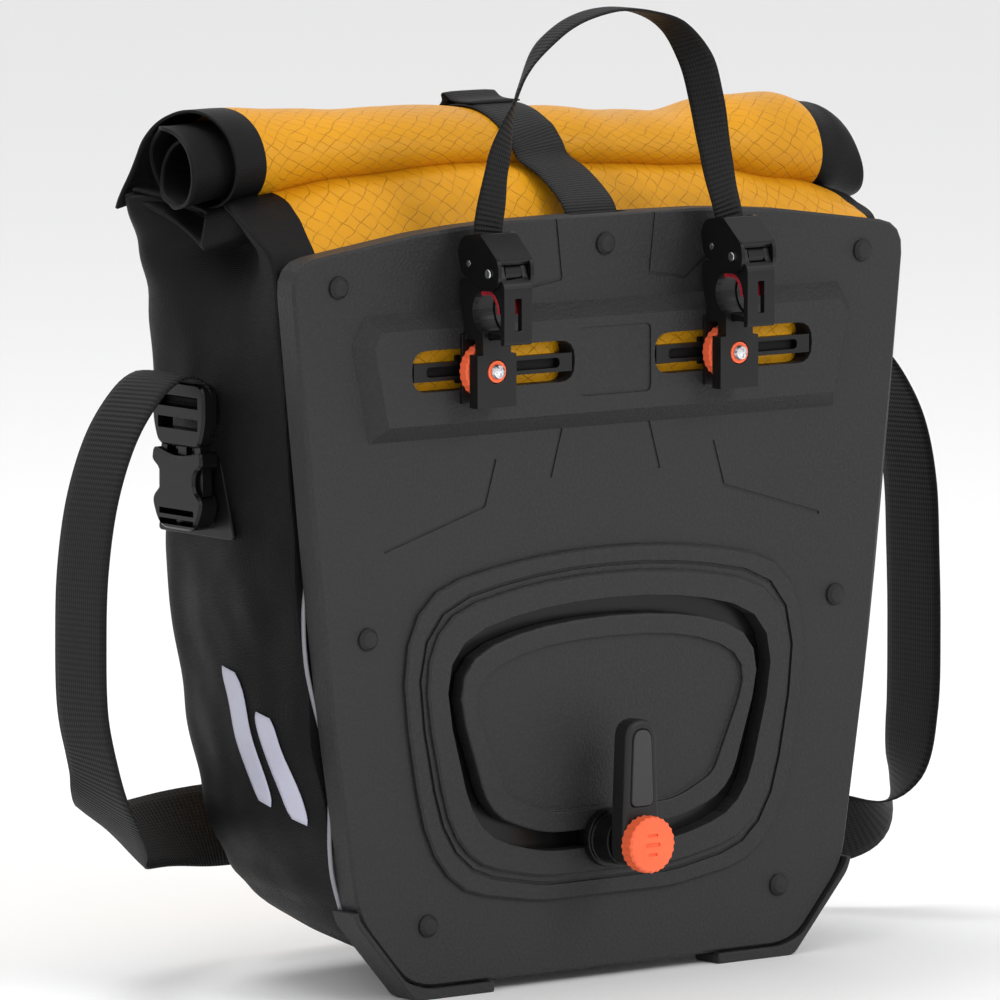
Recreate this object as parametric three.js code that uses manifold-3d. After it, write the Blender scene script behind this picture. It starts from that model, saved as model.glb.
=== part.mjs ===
// Roll-top pannier bag with a moulded back plate, two clamp-on upper hooks that share one carrying
// handle, a lower anchor arm running in a looped track, and a clip-on shoulder strap.
// Millimetres. +Z is up, X runs across the back plate, and the back plate faces -Y. The pieces are
// drawn with the plate's front face at y = 0, then moved so the origin is under the bag's middle.
import * as THREE from 'three';
import { mergeVertices } from 'three/addons/utils/BufferGeometryUtils.js';
import Module from 'manifold-3d';

// ---- driving dimensions ---------------------------------------------------------------------
const GAP = 0.3; // air left between neighbouring pieces

const PLATE_T = 4; // moulded sheet thickness, front face at y = 0
const PLATE_RIM = 13; // depth of the rim that wraps the bag
const PLATE_BOTTOM = 5;
const PAD_RISE = 7; // how far the rail pad stands proud of the plate
const SLOT = { x0: 22, x1: 110, z0: 264, z1: 282 }; // rail windows, mirrored left and right
const RAIL_Z = 272.5;
const RAIL_H = 8;
const RIVETS = [[0, 322], [144, 311], [-144, 311], [129, 159], [-129, 159], [97, 32], [-97, 32]];

const TRACK_RISE = 4.5; // how far the loop track stands proud of the plate
const CHANNEL_W = 8;

const BASE_Y = 60; // middle of the bag's underside, brought to the origin
const BAG_DEPTH = 124;
const BAG_WALL = 3;
const ROLL_Y = 72;
const ROLL_Z = 358;
const ROLL_R = 19;
const ROLL_HALF = 196;
const CLOSURE_W = 28; // closing strap webbing
const STRAP_NOTCH = CLOSURE_W / 2 + 1.5; // half width of the rim notch it rises through

const HOOK_X = [-75, 58];
const HOOK_W = 15;
const BLOCK_W = 21;
const PIVOT = [-27.7, 315.5]; // lever pivot, (y, z)
const BAR = [-13, 319]; // strap bar, (y, z)
const TUBE_C = [-23, 299]; // centre of the rack tube seat, (y, z)
const TUBE_R = 9.5;
const WHEEL_R = 12;
const HANDLE_W = 14.4;
const HANDLE_T = 1.7;

const ANCHOR = [-3, 63]; // lower anchor axis, (x, z)
const ARM_Y = [-30, -20];
const ARM_GAP = -ARM_Y[1] - GAP; // front of the carriage, just behind the arm
const KNOB_R = 12.5;

const BUCKLE_X = 170; // mid plane of the side buckles, mirrored
const BUCKLE_Y = 73;
const STRAP_W = 38;
const STRAP_T = 2;

// Reflective mark low on each side panel: half widths and heights, and the panel's lean there.
const EMBLEM = { low: [19, 80], high: [21, 138], x: 147.6, y: 50, z: 107, lean: [32, 120] };

// ---- materials ------------------------------------------------------------------------------
const finish = (color, roughness, metalness = 0) =>
  () => new THREE.MeshStandardMaterial({ color, roughness, metalness });
const charcoal = finish(0x38383a, 0.62);
const glossBlack = finish(0x0c0c0d, 0.28);
const satinBlack = finish(0x17171a, 0.45);
const webbing = finish(0x1b1b1d, 0.85);
const blackFabric = finish(0x1f1f22, 0.8);
const amberFabric = finish(0xdda028, 0.7);
const orange = finish(0xff7850, 0.45);
const red = finish(0x9c1f2c, 0.4);
const steel = finish(0xc8c8cc, 0.22, 1);
const reflective = finish(0xc3c3d2, 0.5);
const rubber = finish(0x2b2b2d, 0.8);

// ---- geometry helpers -----------------------------------------------------------------------
const wasm = await Module();
wasm.setup();

function solid(geometry) {
  const bare = geometry.clone();
  bare.deleteAttribute('normal');
  bare.deleteAttribute('uv');
  const merged = mergeVertices(bare, 1e-4);
  return new wasm.Manifold(new wasm.Mesh({
    numProp: 3,
    vertProperties: new Float32Array(merged.attributes.position.array),
    triVerts: new Uint32Array(merged.index.array),
  }));
}

function surface(manifold) {
  const mesh = manifold.getMesh();
  const geometry = new THREE.BufferGeometry();
  geometry.setAttribute('position', new THREE.BufferAttribute(mesh.vertProperties, 3));
  geometry.setIndex(new THREE.BufferAttribute(mesh.triVerts, 1));
  geometry.computeVertexNormals();
  return geometry;
}

const union = (first, ...rest) => rest.reduce((sum, next) => sum.add(next), first);
const cut = (body, ...tools) => tools.reduce((left, tool) => left.subtract(tool), body);

// Closed outline through [u, v, radius] corners, each corner eased by a curve.
function outline(corners) {
  const path = new THREE.Shape();
  const count = corners.length;
  corners.forEach(([u, v, radius = 0], i) => {
    const corner = new THREE.Vector2(u, v);
    const toward = (j) => {
      const other = new THREE.Vector2(...corners[(j + count) % count].slice(0, 2)).sub(corner);
      return other.setLength(Math.min(radius, other.length() * 0.49)).add(corner);
    };
    const [enter, leave] = [toward(i - 1), toward(i + 1)];
    if (i === 0) path.moveTo(enter.x, enter.y);
    else path.lineTo(enter.x, enter.y);
    if (radius > 0) path.quadraticCurveTo(u, v, leave.x, leave.y);
  });
  path.closePath();
  return path;
}

const circle = (u, v, radius) => new THREE.Shape().absarc(u, v, radius, 0, Math.PI * 2);

// Ring sector about (u, v) between two radii and two angles in degrees.
function sector(u, v, inner, outer, from, to) {
  const [a, b] = [THREE.MathUtils.degToRad(from), THREE.MathUtils.degToRad(to)];
  return new THREE.Shape().absarc(u, v, outer, a, b, false).absarc(u, v, inner, b, a, true);
}

// Band of constant thickness along an open run of [u, v] points.
function band(points, thickness, steps) {
  const curve = new THREE.CatmullRomCurve3(points.map(([u, v]) => new THREE.Vector3(u, v, 0)));
  const sides = [[], []];
  for (let i = 0; i <= steps; i += 1) {
    const at = curve.getPoint(i / steps);
    const along = curve.getTangent(i / steps);
    const off = new THREE.Vector2(-along.y, along.x).setLength(thickness / 2);
    sides[0].push(new THREE.Vector2(at.x + off.x, at.y + off.y));
    sides[1].unshift(new THREE.Vector2(at.x - off.x, at.y - off.y));
  }
  return new THREE.Shape([...sides[0], ...sides[1]]);
}

function extrude(shape, depth, bevel, curveSegments) {
  const geometry = new THREE.ExtrudeGeometry(shape, {
    depth: depth - 2 * bevel,
    bevelEnabled: bevel > 0,
    bevelThickness: bevel,
    bevelSize: bevel,
    bevelOffset: -bevel,
    bevelSegments: 1,
    curveSegments,
  });
  return geometry.translate(0, 0, bevel);
}

// Shape drawn in (x, z), swept from y0 to y1.
function alongY(shape, y0, y1, bevel = 0, segments = 4) {
  return solid(extrude(shape, y1 - y0, bevel, segments).rotateX(Math.PI / 2).translate(0, y1, 0));
}

// Shape drawn in (y, z), swept from x0 to x1.
function alongX(shape, x0, x1, bevel = 0, segments = 4) {
  const turn = new THREE.Matrix4().makeBasis(
    new THREE.Vector3(0, 1, 0), new THREE.Vector3(0, 0, 1), new THREE.Vector3(1, 0, 0));
  return solid(extrude(shape, x1 - x0, bevel, segments).applyMatrix4(turn).translate(x0, 0, 0));
}

// Shape drawn in (x, y), swept from z0 to z1.
function alongZ(shape, z0, z1, bevel = 0, segments = 4) {
  return solid(extrude(shape, z1 - z0, bevel, segments).translate(0, 0, z0));
}

function box(x0, x1, y0, y1, z0, z1) {
  return solid(new THREE.BoxGeometry(x1 - x0, y1 - y0, z1 - z0)
    .translate((x0 + x1) / 2, (y0 + y1) / 2, (z0 + z1) / 2));
}

// Round bar on the Y axis through (x, z).
function rodY(x, z, radius, y0, y1, sides = 20) {
  return solid(new THREE.CylinderGeometry(radius, radius, y1 - y0, sides)
    .translate(x, (y0 + y1) / 2, z));
}

// Round bar on the X axis through (y, z).
function rodX([y, z], radius, x0, x1, sides = 16) {
  return solid(new THREE.CylinderGeometry(radius, radius, x1 - x0, sides)
    .rotateZ(Math.PI / 2).translate((x0 + x1) / 2, y, z));
}

const slide = (body, x) => body.translate([x, 0, 0]);
const mirrored = (corners) => [
  ...corners, ...corners.slice().reverse().map(([u, v, r]) => [-u, v, r])];

// ---- back plate -----------------------------------------------------------------------------
// Tapered plate outline, pulled in by `inset` all round.
function plateOutline(inset = 0) {
  return outline(mirrored([
    [98 - inset, PLATE_BOTTOM + inset, 8], [109 - inset, 9 + inset, 6], [134 - inset, 38, 10],
    [150 - inset, 140, 60], [163 - inset, 262, 60], [169 - inset, 322 - inset, 14],
    [80, 335 - inset, 50]]));
}

// Rounded five-sided loop of the lower track, grown by `grow` all round.
function trackOutline(grow) {
  return outline(mirrored([
    [36, 59 - grow, 10], [74 + grow, 69 - grow, 22 + grow], [96 + grow, 152 + grow, 36 + grow],
    [40, 168 + grow, 40]]));
}

function loopGroove(grow, width, y0, y1) {
  const ring = trackOutline(grow);
  ring.holes.push(trackOutline(grow - width));
  return alongY(ring, y0, y1);
}

function padBlock() {
  const shape = outline([
    [-128, 243], [128, 243], [137, 286], [130, 298], [-130, 298], [-137, 286]]);
  return alongY(shape, -PAD_RISE, PAD_RISE, PAD_RISE - 0.1);
}

function slotWindow(side, grow = 0) {
  const xs = [side * (SLOT.x0 - grow), side * (SLOT.x1 + grow)].sort((a, b) => a - b);
  const [z0, z1] = [SLOT.z0 - grow, SLOT.z1 + grow];
  return outline([[xs[0], z0, 8], [xs[1], z0, 8], [xs[1], z1, 8], [xs[0], z1, 8]]);
}

// Shallow moulded lines, each a thin bar let into the plate face.
function lineGroove(x0, z0, x1, z1) {
  const length = Math.hypot(x1 - x0, z1 - z0);
  return solid(new THREE.BoxGeometry(length, 1.2, 1.4)
    .rotateY(-Math.atan2(z1 - z0, x1 - x0)).translate((x0 + x1) / 2, 0, (z0 + z1) / 2));
}

function mouldedLines() {
  const half = [
    [27, 334, 24, 308], [24, 308, 44, 305], [44, 305, 60, 316],
    [60, 232, 66, 212], [66, 212, 120, 196], [24, 243, 30, 222]];
  return half.flatMap(([a, b, c, d]) => [lineGroove(a, b, c, d), lineGroove(-a, b, -c, d)]);
}

function backPlate() {
  const shell = cut(
    alongY(plateOutline(), 0, PLATE_RIM, 1.2),
    alongY(plateOutline(3), PLATE_T, PLATE_RIM + 1));
  const raised = [
    alongY(trackOutline(22), -2.4, 1, 0.9, 5),
    alongY(trackOutline(11), -TRACK_RISE, 1, 0.9, 5),
    cut(padBlock(), box(-160, 160, PLATE_T - 1, 20, 200, 320))];
  const windows = [-1, 1].map((side) => alongY(slotWindow(side), -20, 20));
  const badge = alongY(outline([[-20, 257, 3], [20, 257, 3], [20, 287, 3], [-20, 287, 3]]),
    -PAD_RISE - 1, -PAD_RISE + 0.8);
  const holes = RIVETS.map(([x, z]) => rodY(x, z, 2.3, -9, 9, 12));
  return cut(union(shell, ...raised),
    alongY(trackOutline(0), -20, 20), loopGroove(15, 1.6, -3.2, -1.2),
    ...windows, badge, ...holes, ...mouldedLines(),
    box(-STRAP_NOTCH, STRAP_NOTCH, PLATE_T, 20, 326, 340));
}

function rivet(x, z) {
  const profile = [[0, -1.5], [3.4, -1.1], [5, 0.4], [5, 1], [2, 1], [2, 5], [0, 5]];
  const turned = new THREE.LatheGeometry(profile.map(([r, y]) => new THREE.Vector2(r, y)), 14);
  return solid(turned.translate(x, -1 - GAP, z));
}

// Corner guard with a standing foot, wrapping one bottom corner of the plate.
function cornerGuard(side) {
  const s = side;
  const corners = [
    [s * 62, 0, 1], [s * 105, 0, 3], [s * 112, 8, 3], [s * 135.6, 35, 3], [s * 137.6, 41, 1],
    [s * 135, 41.4, 1], [s * 134.6, 38, 6], [s * 109.4, 8.4, 4], [s * 98, 4.6, 4], [s * 62, 4.6, 1]];
  return alongY(outline(s > 0 ? corners : corners.reverse()), -2, PLATE_RIM + 2, 0.6, 3);
}

// Slotted rail behind a pad window, hooked over the back of the plate at both ends.
function rail(side) {
  const [z0, z1] = [RAIL_Z - RAIL_H / 2, RAIL_Z + RAIL_H / 2];
  const bar = box(SLOT.x0 + 1.2, SLOT.x1 - 1.2, -6.6, -3, z0, z1);
  const ends = [SLOT.x0 + 1.2, SLOT.x1 - 5.2].map((x) => box(x, x + 4, -4, 5, z0, z1));
  const flanges = [SLOT.x0 - 7, SLOT.x1 - 5.2].map((x) => box(x, x + 12, PLATE_T + GAP, 6, 262, 284));
  const slot = outline([[30, 270.3, 2.1], [102, 270.3, 2.1], [102, 274.7, 2.1], [30, 274.7, 2.1]]);
  const body = cut(union(bar, ...ends, ...flanges), alongY(slot, -8, 0));
  return side > 0 ? body : body.scale([-1, 1, 1]);
}

function pipingStrip(side) {
  const run = [[137.5, 54], [147, 110], [158, 210], [166, 305]];
  const outer = run.map(([x, z]) => [side * (x + 1.4), z]);
  return alongY(band(outer, 1.6, 6), PLATE_RIM + GAP, PLATE_RIM + 1.8);
}

// ---- lower track and anchor -----------------------------------------------------------------
const trackRail = () => alongY(trackOutline(6), PLATE_T + GAP, 6.2);

function trackIsland() {
  const island = alongY(trackOutline(-CHANNEL_W), -TRACK_RISE, PLATE_T, 0.7);
  return cut(island, alongY(trackOutline(-CHANNEL_W - 9), -TRACK_RISE - 1, -TRACK_RISE + 1.8));
}

// Foot in the channel, with a round turret that carries the arm.
function anchorCarriage() {
  const [x, z] = ANCHOR;
  return cut(
    union(box(x - 9, x + 9, -5.2, 3.8, z - 3.3, z + 3.3), rodY(x, z, 13, -9, -5, 32),
      rodY(x, z, 11, -ARM_GAP, -8.5, 32)),
    rodY(x, z, 2.8, -30, 10));
}

function anchorArm() {
  const [x, z] = ANCHOR;
  const blade = outline([
    [x - 10, z - 10, 9], [x + 10, z - 10, 9], [x + 10, z + 6, 8], [x + 8, z + 54, 8],
    [x - 8, z + 54, 8], [x - 10, z + 6, 8]]);
  return cut(alongY(blade, ...ARM_Y, 1.2),
    alongY(gripShape(0), ARM_Y[0] - 1, ARM_Y[0] + 1.5), rodY(x, z, 2.8, -40, 0));
}

function gripShape(shrink) {
  const [x, z] = ANCHOR;
  const half = 5.4 - shrink;
  return outline([
    [x - half - 0.8, z + 16 + shrink, 3], [x + half + 0.8, z + 16 + shrink, 3],
    [x + half - 0.6, z + 50 - shrink, 5], [x - half + 0.6, z + 50 - shrink, 5]]);
}

// Thumb knob with a scalloped rim.
function scalloped(x, z, radius, teeth, depth) {
  const steps = teeth * 2;
  const points = Array.from({ length: steps }, (unused, i) => {
    const angle = (i / steps) * Math.PI * 2;
    const r = radius - (i % 2) * depth;
    return new THREE.Vector2(x + r * Math.cos(angle), z + r * Math.sin(angle));
  });
  return new THREE.Shape(points);
}

function anchorKnob() {
  const [x, z] = ANCHOR;
  const top = ARM_Y[0] - GAP - 7.5;
  const bars = [[3.4, 0.6, 4.2], [5, 0.8, 0], [3, 0.6, -4.2]].map(([half, tall, dz]) =>
    box(x - half * 0.8, x + half * 0.8, top - 1, top + 0.8, z + dz - tall, z + dz + tall));
  return cut(alongY(scalloped(x, z, KNOB_R, 24, 0.6), top, ARM_Y[0] - GAP, 0.8),
    rodY(x, z, 2.8, top + 3, 0), ...bars);
}

const anchorScrew = () => rodY(...ANCHOR, 2.5, ARM_Y[0] - 4, 3.8);

// ---- upper hooks (each built at x = 0) ------------------------------------------------------
function hookBody() {
  const half = HOOK_W / 2;
  const cheek = outline([
    [-21, 286, 0], [-15.2, 286, 0], [-7.4, 286, 0], [-7.4, 292, 2], [-4.4, 301, 4],
    [-4.4, 312.5, 3], [-21.5, 312.5, 2], [-24, 321, 4], [-31, 321, 4], [-33, 313.5, 2],
    [-36, 311, 3], [-36, 285, 1.5], [-33.2, 285, 0.5], [-33.2, 299, 0], [-21, 291, 0]]);
  const front = alongX(cheek, -half, half, 0, 4);
  const seat = rodX(TUBE_C, TUBE_R, -20, 20, 20);
  const throat = box(-20, 20, -33.2, -21, 280, TUBE_C[1]);
  const pocket = union(
    box(-4.5, 4.5, -33.2, 5, 286.3, 330), box(-4.5, 4.5, -34, 5, 313, 330));
  const window = alongY(outline([
    [-1.8, 291, 0.6], [1.8, 291, 0.6], [1.8, 305, 0.6], [-1.8, 305, 0.6]]), -40, -30);
  const block = box(-BLOCK_W / 2, BLOCK_W / 2, -21, -15.2, 257, 286.3);
  const rear = box(-9.5, 9.5, -9, -7.4, 258, 288);
  return cut(
    union(cut(front, seat, throat, pocket, window), clipTop(block), rear),
    rodY(0, RAIL_Z, 5.2, -30, -15, 16), rodY(0, RAIL_Z, 2.3, -15, 0), rodX(PIVOT, 2.3, -12, 12));
}

// The block narrows to the hook width above the wheel.
function clipTop(block) {
  const shoulder = HOOK_W / 2;
  return cut(block, box(shoulder, 20, -30, 0, 280, 290), box(-20, -shoulder, -30, 0, 280, 290));
}

// Release lever: two ears on the pivot joined by the sloping top plate.
function hookLever() {
  const ear = outline([
    [-35, 312, 5], [-30, 308, 4], [-21, 308, 5], [-8, 315, 3], [-5.5, 325, 3], [-9, 330.5, 3],
    [-21, 332.5, 2], [-34, 321.5, 3]]);
  const ears = [-9.6, 7.8].map((x) => alongX(ear, x, x + 1.8, 0, 4));
  const top = outline([[-34, 321.5, 1], [-32.6, 319.4, 0], [-20.6, 329.8, 0], [-21, 332.5, 1]]);
  return cut(union(...ears, alongX(top, -9, 9, 0, 3)),
    rodX(PIVOT, 2.3, -12, 12), rodX(BAR, 1.8, -12, 12));
}

// Claw that closes the throat under the rack tube.
function hookClaw() {
  const [y, z] = TUBE_C;
  const arm = alongX(sector(y, z, 10.2, 13.4, -62, 118), -4.2, 4.2, 0, 10);
  const hub = alongX(circle(...PIVOT, 5), -4.2, 4.2, 0, 8);
  const tongue = alongX(outline([[-30, 286.8, 1], [-17, 286.8, 1], [-15, 290, 1], [-30, 289, 1]]),
    -4.2, 4.2, 0, 3);
  return cut(union(arm, hub, tongue), rodX(PIVOT, 2.3, -12, 12));
}

const tubeInsert = () => alongX(sector(...TUBE_C, 7.3, 9.2, 62, 186), -7.2, 7.2, 0, 10);

function thumbWheel() {
  const disc = alongY(scalloped(0, RAIL_Z, WHEEL_R, 24, 0.5), -14.9, -9.3, 0.6);
  return cut(union(disc, rodY(0, RAIL_Z, 4.8, -21.2, -12, 16)), rodY(0, RAIL_Z, 2.3, -30, 0));
}

function clampScrew() {
  const [r, y] = [3.4, -21.5];
  const profile = [
    [0, -2.4], [1.6, -2.2], [2.8, -1.4], [r, 0], [1.8, 0.01], [1.8, 20.8], [0, 20.8]];
  const turned = new THREE.LatheGeometry(profile.map(([a, b]) => new THREE.Vector2(a, b)), 20);
  const cross = [[2.2, 0.45], [0.45, 2.2]].map(([a, b]) =>
    box(-a, a, y - 4, y - 1.2, RAIL_Z - b, RAIL_Z + b));
  return cut(solid(turned.translate(0, y, RAIL_Z)), ...cross);
}

const clampJaw = () => cut(box(-8, 8, -2.6, -0.8, 266.5, 278.5), rodY(0, RAIL_Z, 2.1, -9, 9));
const pivotPin = () => rodX(PIVOT, 2, -10.4, 10.4);
const strapBar = () => rodX(BAR, 1.5, -9.4, 9.4);

// ---- handle ---------------------------------------------------------------------------------
function handleEnd(x) {
  const [y, z] = BAR;
  const half = HANDLE_W / 2;
  const loop = alongX(sector(y, z, 2.4, 2.4 + HANDLE_T, 100, 439.9), x - half, x + half, 0, 14);
  return union(loop, box(x - half, x + half, y - HANDLE_T / 2, y + HANDLE_T / 2, z + 3, 344));
}

function handleStrap() {
  const y = BAR[0];
  const [left, right] = HOOK_X;
  const arch = band([
    [left, 341], [left + 2, 362], [left + 12, 392], [left + 32, 416], [-5, 427], [20, 422],
    [39, 401], [52, 370], [right, 341]], HANDLE_T, 24);
  return union(
    alongY(arch, y - HANDLE_W / 2, y + HANDLE_W / 2), handleEnd(left), handleEnd(right));
}

// ---- bag ------------------------------------------------------------------------------------
function bagFront(inset) {
  return outline(mirrored([
    [118 - inset, inset, 46], [150 - inset, 120, 50], [164 - inset, 262, 40],
    [165 - inset, 340, 0]]));
}

function bagProfile(inset) {
  return outline([
    [15 + inset, inset, 3], [BAG_DEPTH - 6 - inset, inset, 30], [BAG_DEPTH - inset, 70, 40],
    [BAG_DEPTH + 4 - inset, 200, 60], [BAG_DEPTH - 6 - inset, 322, 2], [15 + inset, 322, 2]]);
}

// Open-topped bag: the tapered front view crossed with the side view, then hollowed.
function bagBody() {
  const block = (inset) => alongY(bagFront(inset), 0, 200, 0, 5)
    .intersect(alongX(bagProfile(inset), -200, 200, 0, 5));
  const behindPlate = (inset, y0, y1) => alongY(plateOutline(4 + inset), y0, y1)
    .intersect(box(-200, 200, 0, 40, 10 + inset, 322));
  return cut(
    union(block(0), behindPlate(0, 7, 18)),
    block(BAG_WALL), behindPlate(BAG_WALL, 7 + BAG_WALL, 20),
    box(-156, 156, 20, BAG_DEPTH - 12, 300, 330), box(-150, 150, 7 + BAG_WALL, 30, 300, 330));
}

// Collar leaning in from the bag mouth to the rolled hem.
function rollTop() {
  const collar = alongX(outline([
    [14, 322.4, 1], [BAG_DEPTH - 8, 322.4, 2], [ROLL_Y + 24, 352, 10], [ROLL_Y - 12, 366, 8],
    [ROLL_Y - 26, 350, 8]]), -164, 164);
  return union(collar, rodX([ROLL_Y, ROLL_Z], ROLL_R, -ROLL_HALF, ROLL_HALF, 24));
}

// Webbing that comes up behind the plate, over the roll and down the front of the bag.
function closingStrap() {
  const run = [
    [8.7, 328], [12, 338], [28, 347], [44, 358], [56, 375.5], [72, 380], [88, 375], [98, 358],
    [112, 336], [125, 322], [131.5, 290], [132.5, 250], [132.5, 216]];
  return alongX(band(run, 1.8, 30), -CLOSURE_W / 2, CLOSURE_W / 2);
}

function strapTab() {
  return alongX(band([[72, 383.2], [84, 381], [93, 374]], 1.8, 8), -30, 6);
}

// ---- closing buckle on the front ------------------------------------------------------------
function closureHousing() {
  const body = box(-18, 18, 131, 140, 178, 212);
  return cut(body, box(-15.5, 15.5, 133, 138, 184, 214), box(-13, 13, 130, 142, 181, 182.5));
}

const closureTongue = () => box(-14.5, 14.5, 133.6, 137.4, 186, 214.8);
const lowerWebbing = () => alongX(band([[129.6, 176], [128.4, 150], [127, 110]], 1.6, 6), -13, 13);

// ---- shoulder strap and side buckles (each built on the +X side) -----------------------------
function anchorPatch() {
  const shape = outline([[45, 200, 3], [101, 200, 3], [90, 236, 4], [56, 236, 4]]);
  return alongX(shape, BUCKLE_X - 5, BUCKLE_X - 5 + 1.6);
}

// Open-topped buckle socket, waisted where the prongs show, with two web slots at its foot.
function buckleSocket() {
  const [x, y] = [BUCKLE_X, BUCKLE_Y];
  const shape = outline([
    [y - 13, 203, 6], [y + 13, 203, 6], [y + 19, 216, 5], [y + 12.5, 221, 3], [y + 12.5, 228, 3],
    [y + 18.5, 232, 2], [y + 17.5, 238, 2], [y, 234, 14], [y - 17.5, 238, 2], [y - 18.5, 232, 2],
    [y - 12.5, 228, 3], [y - 12.5, 221, 3], [y - 19, 216, 5]]);
  const mouth = box(x - 1, x + 5, y - 16.5, y + 16.5, 213.5, 240);
  const webSlots = [205, 209.4].map((z) => box(x - 10, x + 10, y - 12.5, y + 12.5, z, z + 2.6));
  return cut(alongX(shape, x - 3, x + 7, 1), mouth, ...webSlots);
}

// Plug with two hooked prongs, a guide blade and a waisted head with two web slots.
function bucklePlug() {
  const [x, y] = [BUCKLE_X, BUCKLE_Y];
  const head = alongX(outline([
    [y - 15, 239, 4], [y + 15, 239, 4], [y + 19, 250, 5], [y + 18.5, 267, 6], [y - 18.5, 267, 6],
    [y - 19, 250, 5]]), x - 2, x + 6, 1);
  const webSlots = [246.5, 256].map((z) => box(x - 5, x + 9, y - 14.5, y + 14.5, z, z + 5));
  const prong = alongX(outline([
    [y + 8.5, 215, 2], [y + 16, 217, 3], [y + 16, 229, 3], [y + 13.6, 242, 0],
    [y + 9.4, 242, 0], [y + 11.6, 228, 2]]), x - 0.4, x + 4.4);
  const other = prong.translate([0, -y, 0]).scale([1, -1, 1]).translate([0, y, 0]);
  return union(cut(head, ...webSlots), prong, other, box(x + 0.4, x + 3.6, y - 3, y + 3, 215, 242));
}

const mirrorX = (body) => body.scale([-1, 1, 1]);

// Shoulder strap: one leg down each side and a run round the front of the bag.
function shoulderStrap() {
  const [y0, y1] = [BUCKLE_Y - STRAP_W / 2, BUCKLE_Y + STRAP_W / 2];
  const leg = alongY(band([
    [BUCKLE_X + 9, 252], [BUCKLE_X + 16, 263], [200, 262], [218, 240], [232, 200], [235, 150],
    [230, 105], [218, 75], [206, 62]], STRAP_T, 24), y0, y1);
  const round = alongZ(band([
    [-207, y0 + 4], [-206, y1], [-192, 128], [-150, 152], [-60, 160], [60, 160], [150, 152],
    [192, 128], [206, y1], [207, y0 + 4]], STRAP_T, 36), 46, 78);
  return union(leg, mirrorX(leg), round);
}

function emblem(side) {
  const { low, high, x, y, z, lean } = EMBLEM;
  const blade = alongX(outline(mirrored([[low[0], low[1] - z, 4], [high[0], high[1] - z, 4]])), 0, 1);
  const slope = THREE.MathUtils.radToDeg(Math.atan2(...lean));
  const placed = blade.rotate([0, slope, 0]).translate([x, y, z]);
  return side > 0 ? placed : mirrorX(placed);
}

// ---- assembly -------------------------------------------------------------------------------
function hookParts() {
  return [
    ['hook_body', hookBody(), glossBlack], ['hook_lever', hookLever(), glossBlack],
    ['hook_claw', hookClaw(), satinBlack], ['tube_insert', tubeInsert(), red],
    ['thumb_wheel', thumbWheel(), orange], ['clamp_screw', clampScrew(), steel],
    ['clamp_jaw', clampJaw(), satinBlack], ['pivot_pin', pivotPin(), steel],
    ['strap_bar', strapBar(), steel]];
}

function sideParts() {
  return [
    ['rail', rail, satinBlack], ['corner_guard', cornerGuard, charcoal],
    ['piping', pipingStrip, reflective], ['emblem', emblem, reflective]];
}

function buckleParts() {
  return [
    ['strap_patch', anchorPatch(), satinBlack], ['buckle_socket', buckleSocket(), satinBlack],
    ['buckle_plug', bucklePlug(), satinBlack]];
}

function allParts() {
  const parts = [
    ['back_plate', backPlate(), charcoal], ['track_rail', trackRail(), glossBlack],
    ['track_island', trackIsland(), charcoal], ['anchor_carriage', anchorCarriage(), glossBlack],
    ['anchor_arm', anchorArm(), satinBlack],
    ['anchor_grip', alongY(gripShape(0.3), ARM_Y[0] - 0.6, ARM_Y[0] + 1.2), rubber],
    ['anchor_knob', anchorKnob(), orange], ['anchor_screw', anchorScrew(), steel],
    ['bag_body', bagBody(), blackFabric], ['roll_top', rollTop(), amberFabric],
    ['closing_strap', closingStrap(), webbing], ['strap_tab', strapTab(), webbing],
    ['closure_housing', closureHousing(), satinBlack],
    ['closure_tongue', closureTongue(), satinBlack], ['lower_webbing', lowerWebbing(), webbing],
    ['handle_strap', handleStrap(), webbing], ['shoulder_strap', shoulderStrap(), webbing]];
  RIVETS.forEach(([x, z], i) => parts.push([`rivet_${i + 1}`, rivet(x, z), satinBlack]));
  for (const [label, side] of [['left', -1], ['right', 1]]) {
    sideParts().forEach(([name, make, material]) =>
      parts.push([`${name}_${label}`, make(side), material]));
    buckleParts().forEach(([name, body, material]) =>
      parts.push([`${name}_${label}`, side > 0 ? body : mirrorX(body), material]));
    hookParts().forEach(([name, body, material]) =>
      parts.push([`${name}_${label}`, slide(body, HOOK_X[side > 0 ? 1 : 0]), material]));
  }
  return parts;
}

const pannier = new THREE.Group();
pannier.name = 'pannier_bag';
for (const [name, body, material] of allParts()) {
  const mesh = new THREE.Mesh(surface(body.translate([0, -BASE_Y, 0])), material());
  mesh.name = name;
  pannier.add(mesh);
}

export default pannier;
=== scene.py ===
"""Looks for the roll-top pannier bag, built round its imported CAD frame. Metres, +Z up, plate faces -Y."""
import math

import bmesh
import bpy
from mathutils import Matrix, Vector, noise
from mathutils.bvhtree import BVHTree


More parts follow.
